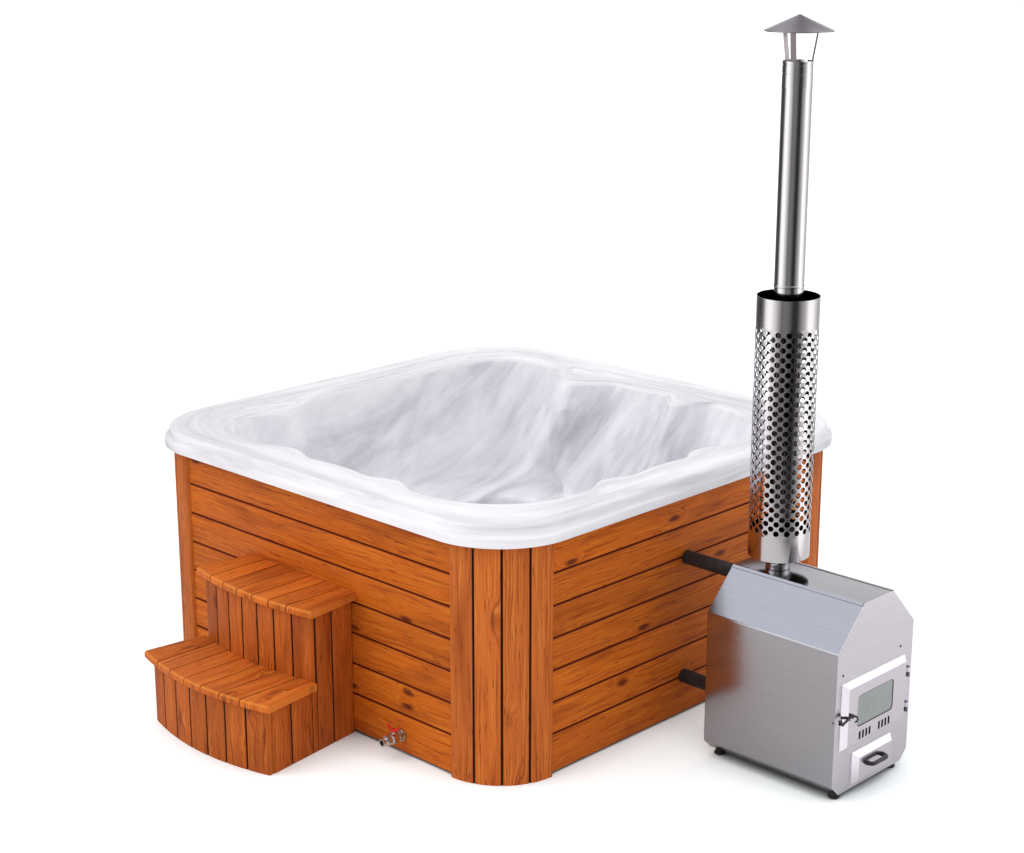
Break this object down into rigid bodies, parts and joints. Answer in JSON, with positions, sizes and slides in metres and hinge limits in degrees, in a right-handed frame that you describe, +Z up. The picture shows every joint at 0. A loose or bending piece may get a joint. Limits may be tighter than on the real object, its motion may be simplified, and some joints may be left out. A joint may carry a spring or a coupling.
{
  "type": "wood-fired hot tub",
  "caption": "Square timber-clad hot tub with a moulded seating shell, an external wood-burning water heater on two hoses, a tall flue with a heat guard, a drain valve and curved entry steps.",
  "frame": {"origin": "centre of the square tub's footprint, on the floor", "axes": "+Z up; +X towards the external furnace; -Y towards the entry steps and the drain valve"},
  "size_m": [2.9516, 2.58, 2.652],
  "materials": {
    "wood": "orange-brown wood stain, satin",
    "frame_wood": "raw sawn softwood",
    "shell": "glossy white marbled acrylic with grey streaks",
    "steel": "brushed stainless sheet",
    "firebox_steel": "heat-darkened steel plate",
    "cast_iron": "rough dark cast iron",
    "rubber": "matt black rubber",
    "black_plastic": "satin black plastic",
    "light_plastic": "light grey plastic",
    "nickel": "satin nickel plate",
    "red_handle": "red painted aluminium",
    "glass": "heat-proof glass, slightly grey",
    "rope": "grey glass-fibre rope"
  },
  "bodies": {
    "tub": {"front_panel": "wood", "right_panel": "wood", "back_panel": "wood", "left_panel": "wood", "front_right_corner_staves": "wood", "front_left_corner_staves": "wood", "back_right_corner_staves": "wood", "back_left_corner_staves": "wood", "lower_tread": "wood", "upper_tread": "wood", "lower_riser": "wood", "upper_riser": "wood", "left_step_side": "wood", "right_step_side": "wood", "base_frame": "frame_wood", "top_frame": "frame_wood", "front_right_post": "frame_wood", "front_left_post": "frame_wood", "back_right_post": "frame_wood", "back_left_post": "frame_wood", "tub_shell": "shell", "furnace_casing": "steel", "furnace_rear_plate": "steel", "furnace_front_plate": "steel", "upper_door_hinge": "steel", "lower_door_hinge": "steel", "latch_keeper": "steel", "lower_flue_pipe": "steel", "upper_flue_pipe": "steel", "heat_guard": "steel", "lower_guard_spacer": "steel", "upper_guard_spacer": "steel", "rain_cap": "steel", "upper_hose_clamp": "steel", "lower_hose_clamp": "steel", "firebox": "firebox_steel", "water_jacket": "firebox_steel", "fire_grate": "cast_iron", "upper_hose": "rubber", "lower_hose": "rubber", "rear_left_foot": "rubber", "rear_right_foot": "rubber", "front_left_foot": "rubber", "front_right_foot": "rubber", "drain_pipe": "black_plastic", "return_fitting": "light_plastic", "suction_fitting": "light_plastic", "drain_fitting": "light_plastic", "valve_flange_nut": "nickel", "valve_body": "nickel", "valve_outlet": "nickel"},
    "door": {"furnace_door": "steel", "door_glass": "glass", "door_glass_frame": "firebox_steel", "door_seal": "rope"},
    "latch": {"door_latch": "steel"},
    "drawer": {"ash_drawer": "steel", "ash_drawer_handle": "black_plastic"},
    "valve": {"valve_ball": "nickel", "valve_handle": "red_handle"}
  },
  "joints": [
    {"name": "door_hinge", "type": "hinge", "parent": "tub", "child": "door", "pos_m": [1.862, 0.183, 0.315], "axis": [0, 0, 1], "range_deg": [0, 120]},
    {"name": "door_latch_turn", "type": "hinge", "parent": "door", "child": "latch", "pos_m": [1.874, -0.18, 0.322], "axis": [1, 0, 0], "range_deg": [-45, 0]},
    {"name": "ash_drawer_slide", "type": "slide", "parent": "tub", "child": "drawer", "axis": [1, 0, 0], "range_m": [0, 0.38]},
    {"name": "drain_valve_turn", "type": "hinge", "parent": "tub", "child": "valve", "pos_m": [0.487, -1.045, 0.09], "axis": [0, 0, 1], "range_deg": [0, 90]}
  ]
}
